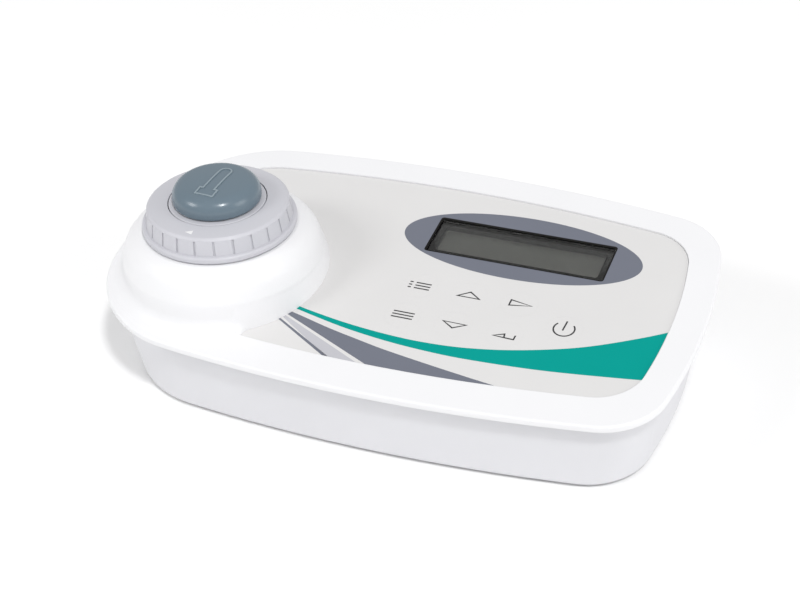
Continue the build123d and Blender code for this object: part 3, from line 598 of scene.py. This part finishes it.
def sheet_piece(name, loops, low, high, material, body, plane=PANEL):
    """A thin printed shape of one outline and its holes, as a closed mesh on a plane."""
    curve = bpy.data.curves.new(name + "_outline", "CURVE")
    curve.dimensions = "2D"
    curve.fill_mode = "BOTH"
    curve.extrude = (high - low) / 2
    for loop in loops:
        spline = curve.splines.new("POLY")
        spline.points.add(len(loop) - 1)
        for point, p in zip(spline.points, loop):
            point.co = (p[0], p[1], 0, 1)
        spline.use_cyclic_u = True
    holder = bpy.data.objects.new(name + "_outline", curve)
    scene.collection.objects.link(holder)
    mesh = evaluated_mesh(holder)
    bpy.data.objects.remove(holder)
    bpy.data.curves.remove(curve)
    work = bmesh.new()
    work.from_mesh(mesh)
    bmesh.ops.remove_doubles(work, verts=work.verts, dist=0.0005)
    bmesh.ops.translate(work, verts=work.verts, vec=(0, 0, (high + low) / 2))
    bmesh.ops.transform(work, matrix=plane, verts=work.verts)
    bmesh.ops.scale(work, vec=(MM, MM, MM), verts=work.verts)
    bmesh.ops.recalc_face_normals(work, faces=work.faces)
    work.to_mesh(mesh)
    work.free()
    mesh.materials.clear()
    mesh.materials.append(material)
    piece = bpy.data.objects.new(name, mesh)
    scene.collection.objects.link(piece)
    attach(piece, body)


def mesh_object(name, work, material=None):
    """Object from a working mesh in millimetres."""
    bmesh.ops.recalc_face_normals(work, faces=work.faces)
    bmesh.ops.scale(work, vec=(MM, MM, MM), verts=work.verts)
    mesh = bpy.data.meshes.new(name)
    work.to_mesh(mesh)
    work.free()
    if material:
        mesh.materials.append(material)
    made = bpy.data.objects.new(name, mesh)
    scene.collection.objects.link(made)
    return made


def smooth(piece, angle):
    """Smooth shading with sharp edges above an angle in degrees."""
    work = bmesh.new()
    work.from_mesh(piece.data)
    for face in work.faces:
        face.smooth = True
    for edge in work.edges:
        edge.smooth = edge.is_manifold and edge.calc_face_angle(0.0) < radians(angle)
    work.to_mesh(piece.data)
    work.free()


def lathe(work, profile, centre, segments=48):
    """Turned closed shape round an upright axis, from its (radius, height) profile."""
    turns = [2 * pi * i / segments for i in range(segments)]
    rings = []
    for radius, z in profile:
        around = turns if radius else [0.0]
        rings.append(
            [work.verts.new((centre[0] + radius * cos(a), centre[1] + radius * sin(a), z)) for a in around]
        )
    for lower, upper in zip(rings, rings[1:]):
        for i in range(segments):
            j = (i + 1) % segments
            ring = [lower[i % len(lower)], lower[j % len(lower)], upper[j % len(upper)], upper[i % len(upper)]]
            work.faces.new(list(dict.fromkeys(ring)))


def cross_star(work, centre, low, high, arm, width):
    """Four-armed prism, narrower at its inner end, that cuts a cross recess."""
    half = width / 2
    outline = [
        (half, half), (half, arm), (-half, arm), (-half, half), (-arm, half), (-arm, -half),
        (-half, -half), (-half, -arm), (half, -arm), (half, -half), (arm, -half), (arm, half),
    ]
    mouth, bottom = [
        [work.verts.new((centre[0] + x * scale, centre[1] + y * scale, z)) for x, y in outline]
        for z, scale in ((low, 1.0), (high, 0.55))
    ]
    work.faces.new(mouth)
    work.faces.new(bottom[::-1])
    for i in range(len(outline)):
        j = (i + 1) % len(outline)
        work.faces.new((mouth[j], mouth[i], bottom[i], bottom[j]))


def node_places(name):
    """Centres of a node's separate solids, seen from above, in millimetres."""
    work = bmesh.new()
    work.from_mesh(nodes[name].data)
    bmesh.ops.remove_doubles(work, verts=work.verts, dist=1e-6)
    seen, centres = set(), []
    for start in work.verts:
        if start in seen:
            continue
        island, queue = [], [start]
        seen.add(start)
        while queue:
            vert = queue.pop()
            island.append(vert.co.copy())
            for edge in vert.link_edges:
                other = edge.other_vert(vert)
                if other not in seen:
                    seen.add(other)
                    queue.append(other)
        xs, ys = [point.x for point in island], [point.y for point in island]
        centres.append(((min(xs) + max(xs)) / 2 / MM, (min(ys) + max(ys)) / 2 / MM))
    work.free()
    return sorted(centres)


# Printed graphics
film_edge = film_outline(PRINT_MARGIN)
oval = ellipse(OVAL, *OVAL_RADII, 160)
opening = [point + OPENING_SHIFT for point in window_rectangle(OPENING_HALF, OPENING_CORNER)]
sheet_piece("print_oval", [oval, opening], FILM_TOP, FILM_TOP + PRINT, SLATE, "body")
sheet_piece(
    "window_liner",
    [window_rectangle(LINER_HALF, LINER_CORNER), window_rectangle(LINER_BORE_HALF, LINER_BORE_CORNER)],
    FILM_TOP - LINER_DEPTH,
    FILM_TOP + PRINT,
    LINING,
    "body",
)
sheet_piece(
    "print_window_edge",
    [opening, window_rectangle(EDGE_HALF, EDGE_CORNER)],
    FILM_TOP,
    FILM_TOP + PRINT,
    LINING,
    "body",
)


def printed(name, outline, material):
    """A printed shape on the overlay, kept off the turret's cut and inside the overlay's edge."""
    placed = [Vector(point) + STRIPE_SHIFT for point in outline]
    shape = clipped(outside_turret(placed), film_edge)
    sheet_piece(name, [shape], FILM_TOP, FILM_TOP + PRINT, material, "body")


sweep_upper = smooth_line(
    [
        (-38.0, -26.1), (-30.0, -28.4), (-12.0, -31.9), (4.8, -33.8), (20.0, -34.2),
        (35.7, -32.8), (53.0, -28.9), (72.6, -21.8), (91.0, -11.6), (106.0, -1.4),
    ]
)
sweep_lower = smooth_line(
    [
        (-38.0, -27.6), (-29.2, -30.2), (-11.0, -34.5), (6.0, -37.1), (22.0, -38.3),
        (37.6, -38.4), (62.9, -36.7), (89.8, -33.0), (106.0, -30.2),
    ]
)
wedge_upper = smooth_line(
    [
        (-38.0, -30.2), (-28.0, -32.8), (-15.6, -36.3), (-3.7, -39.1), (7.8, -41.6),
        (24.4, -44.4), (40.0, -46.8), (50.4, -48.3), (60.0, -50.2),
    ]
)
wedge_lower = [(-38.0, -31.0), (3.6, -50.2), (9.0, -54.0)]
printed("print_sweep", sweep_upper[::-1] + sweep_lower, TEAL)
printed("print_wedge", wedge_upper[::-1] + wedge_lower, SLATE)
printed("print_pale_stripe", [(-38.0, -31.9), (-38.0, -32.4), (-5.5, -54.0), (8.0, -54.0)], PALE)
printed("print_thin_stripe", [(-38.0, -34.0), (-38.0, -34.9), (-8.7, -52.4), (-6.3, -52.4)], SLATE)


# Key symbols, and a thin collar round each key that closes the sight gap
def symbol(name, key, points, closed=False):
    """A line drawing on a key, from its points round the key's middle."""
    centre = Vector(KEYS[key])
    loops = stroke([centre + Vector(p) for p in points], LINE, closed)
    sheet_piece(name, loops, FILM_TOP, FILM_TOP + PRINT, INK, "key_" + key)


symbol("symbol_up", "up", [(-3.9, -1.4), (4.4, -1.4), (0.2, 1.6)], True)
symbol("symbol_down", "down", [(-4.1, 1.0), (0.2, -1.8), (4.6, 0.9)], True)
symbol("symbol_right", "right", [(-3.5, -1.4), (4.6, 0.1), (-3.5, 1.6)], True)
symbol("symbol_enter_head", "enter", [(-3.8, -1.5), (0.3, -1.7), (0.0, 0.2)], True)
symbol("symbol_enter_line", "enter", [(0.3, -1.7), (3.8, -1.8), (3.9, 0.4)])
power_turns = [POWER_GAP + (2 * pi - 2 * POWER_GAP) * i / 40 for i in range(41)]
power_ring = [(POWER_RADIUS * sin(turn), POWER_RADIUS * cos(turn)) for turn in power_turns]
symbol("symbol_power_ring", "power", power_ring)
symbol("symbol_power_bar", "power", [(-0.3, -0.9), (0, 4.2)])
for row, y in enumerate(ROW_HEIGHTS):
    symbol(f"symbol_table_row_{row}", "table", [(-1.6, y), (4.2, y)])
    symbol(f"symbol_table_dot_{row}", "table", [(-4.0, y), (-2.8, y)])
    symbol(f"symbol_menu_bar_{row}", "menu", [(-4.0, y), (4.0, y)])

for key, middle in KEYS.items():
    loops = [ellipse(middle, radius, radius, 96) for radius in (KEY_RADIUS + SEAM, KEY_RADIUS)]
    sheet_piece("key_seam_" + key, loops, FILM_TOP - SEAM_DEPTH, FILM_TOP, FILM, "key_" + key)

index_plane = (
    Matrix.Translation((*TURRET, TURRET_TOP + INDEX_RISE))
    @ Matrix.Rotation(radians(-90), 4, "Z")
    @ Matrix.Translation((INDEX_RADIUS, 0, 0))
    @ Matrix.Rotation(INDEX_LEAN, 4, "Y")
)
sheet_piece(
    "ring_index",
    [INDEX_TRIANGLE],
    -INDEX_HALF_THICKNESS,
    INDEX_HALF_THICKNESS,
    MARK,
    "lock_ring",
    index_plane,
)


def turret_skirt():
    """White foot of the turret along the overlay, which leads the dome down to the film with no step."""
    shell = bmesh.new()
    shell.from_mesh(nodes["upper_housing"].data)
    bmesh.ops.scale(shell, vec=(1 / MM, 1 / MM, 1 / MM), verts=shell.verts)
    bmesh.ops.transform(shell, matrix=PANEL.inverted(), verts=shell.verts)
    dome = BVHTree.FromBMesh(shell)
    shell.free()

    def at(radius, angle, z):
        return Vector((*(TURRET_ON_PANEL + radius * Vector((cos(angle), sin(angle)))), z))

    def dome_height(radius, angle):
        return dome.ray_cast(at(radius, angle, TURRET_TOP), Vector((0, 0, -1)))[0].z

    foot_z = FILM_TOP - SKIRT_UNDER
    count = round((SKIRT_END - SKIRT_START) / SKIRT_STEP)
    work = bmesh.new()
    rings = []
    for i in range(count + 1):
        angle = radians(SKIRT_START + i * SKIRT_STEP)
        past_start = i * SKIRT_STEP
        to_an_end = min(i, count - i) * SKIRT_STEP
        sink = SKIRT_SINK * max(0.0, 1.0 - to_an_end / SKIRT_FADE)
        at_tip = max(0.0, min(1.0, 1.0 - (past_start - SKIRT_FADE) / TIP_REACH))
        top = (SKIRT_TOP, dome_height(SKIRT_TOP, angle) - TOP_UNDER)
        edge = (FOOT_RADIUS, dome_height(FOOT_RADIUS - 0.05, angle) + FOOT_OVER)
        foot = (SKIRT_FOOT + TIP_SPREAD * at_tip**2, foot_z)
        section = [(p.x, p.y) for p in smooth_line([top, edge, foot], 5)] + [(SKIRT_TOP, foot_z)]
        rings.append([work.verts.new(at(radius - sink, angle, z)) for radius, z in section])
    for first, second in zip(rings, rings[1:]):
        for k, corner in enumerate(first):
            work.faces.new((first[k - 1], corner, second[k], second[k - 1]))
    work.faces.new(rings[0])
    work.faces.new(rings[-1][::-1])
    bmesh.ops.transform(work, matrix=PANEL, verts=work.verts)
    piece = mesh_object("turret_skirt", work, WHITE)
    smooth(piece, 50)
    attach(piece, "body")


def screws(cad_node, name, head, head_radius, shank, body):
    """Pan-head screws that point up, with a cross recess in the head, in place of a node's plain ones."""
    low, tip = (corner.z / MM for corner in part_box(cad_node))
    seat = low + head
    profile = [
        (0, low), (head_radius * 0.55, low + 0.02), (head_radius * 0.82, low + head * 0.14),
        (head_radius * 0.96, low + head * 0.4), (head_radius, seat - head * 0.18), (head_radius, seat),
        (shank, seat), (shank, tip - shank * 0.6), (shank * 0.45, tip), (0, tip),
    ]
    solid, cutter = bmesh.new(), bmesh.new()
    for centre in node_places(cad_node):
        lathe(solid, profile, centre)
        cross_star(cutter, centre, low - 0.5, low + head * 0.62, head_radius * 0.6, head_radius * 0.24)
    piece = mesh_object(name, solid, STEEL)
    knife = mesh_object(name + "_cutter", cutter)
    cut = piece.modifiers.new("recess", "BOOLEAN")
    cut.operation = "DIFFERENCE"
    cut.solver = "EXACT"
    cut.object = knife
    recessed = evaluated_mesh(piece)
    piece.modifiers.clear()
    piece.data = recessed
    bpy.data.objects.remove(knife)
    smooth(piece, 30)
    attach(piece, body)
    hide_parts(cad_node)


turret_skirt()
for screw in SCREWS:
    screws(*screw)

# Floor, light and camera
floor_mesh = bpy.data.meshes.new("floor")
floor_grid = bmesh.new()
bmesh.ops.create_grid(floor_grid, x_segments=1, y_segments=1, size=FLOOR_SIZE)
floor_grid.to_mesh(floor_mesh)
floor_grid.free()
floor = bpy.data.objects.new("floor", floor_mesh)
scene.collection.objects.link(floor)
floor_material, floor_tree, floor_shader = new_material("studio_floor")
floor_colour = blend(floor_tree, noise(floor_tree, scale=3.0), (0.95, 0.95, 0.95), (0.97, 0.97, 0.97))
floor_tree.links.new(floor_colour, floor_shader.inputs["Base Color"])
floor_shader.inputs["Roughness"].default_value = 0.9
floor_mesh.materials.append(floor_material)

world = bpy.data.worlds.new("studio")
world.use_nodes = True
background = world.node_tree.nodes["Background"]
background.inputs["Color"].default_value = (1.0, 1.0, 1.0, 1.0)
background.inputs["Strength"].default_value = WORLD_STRENGTH
scene.world = world

for name, place, side, power in LIGHTS:
    light = bpy.data.lights.new(name, "AREA")
    light.shape = "RECTANGLE"
    light.size = light.size_y = side
    light.energy = power
    lamp = bpy.data.objects.new(name, light)
    lamp.location = place
    lamp.rotation_euler = (LIGHT_AIM - Vector(place)).to_track_quat("-Z", "Y").to_euler()
    scene.collection.objects.link(lamp)

back = Vector((sin(AZIMUTH) * cos(ELEVATION), -cos(AZIMUTH) * cos(ELEVATION), sin(ELEVATION)))
level_right = Vector((cos(AZIMUTH), sin(AZIMUTH), 0))
level_up = back.cross(level_right)
right = level_right * cos(ROLL) + level_up * sin(ROLL)
up = level_up * cos(ROLL) - level_right * sin(ROLL)
across = (TARGET_PX[0] - PHOTO_WIDTH / 2) / FOCUS_PX
above = -(TARGET_PX[1] - PHOTO_HEIGHT / 2) / FOCUS_PX
eye = PANEL @ TARGET - (right * across + up * above - back) * DISTANCE
camera_data = bpy.data.cameras.new("photo_camera")
camera_data.sensor_width = SENSOR_WIDTH
camera_data.lens = FOCUS_PX * SENSOR_WIDTH / PHOTO_WIDTH
camera_data.clip_start = 0.01
camera = bpy.data.objects.new("photo_camera", camera_data)
view = Matrix((right, up, back)).transposed().to_4x4()
view.translation = eye * MM
camera.matrix_world = view
scene.collection.objects.link(camera)
scene.camera = camera
scene.view_settings.view_transform = "Standard"
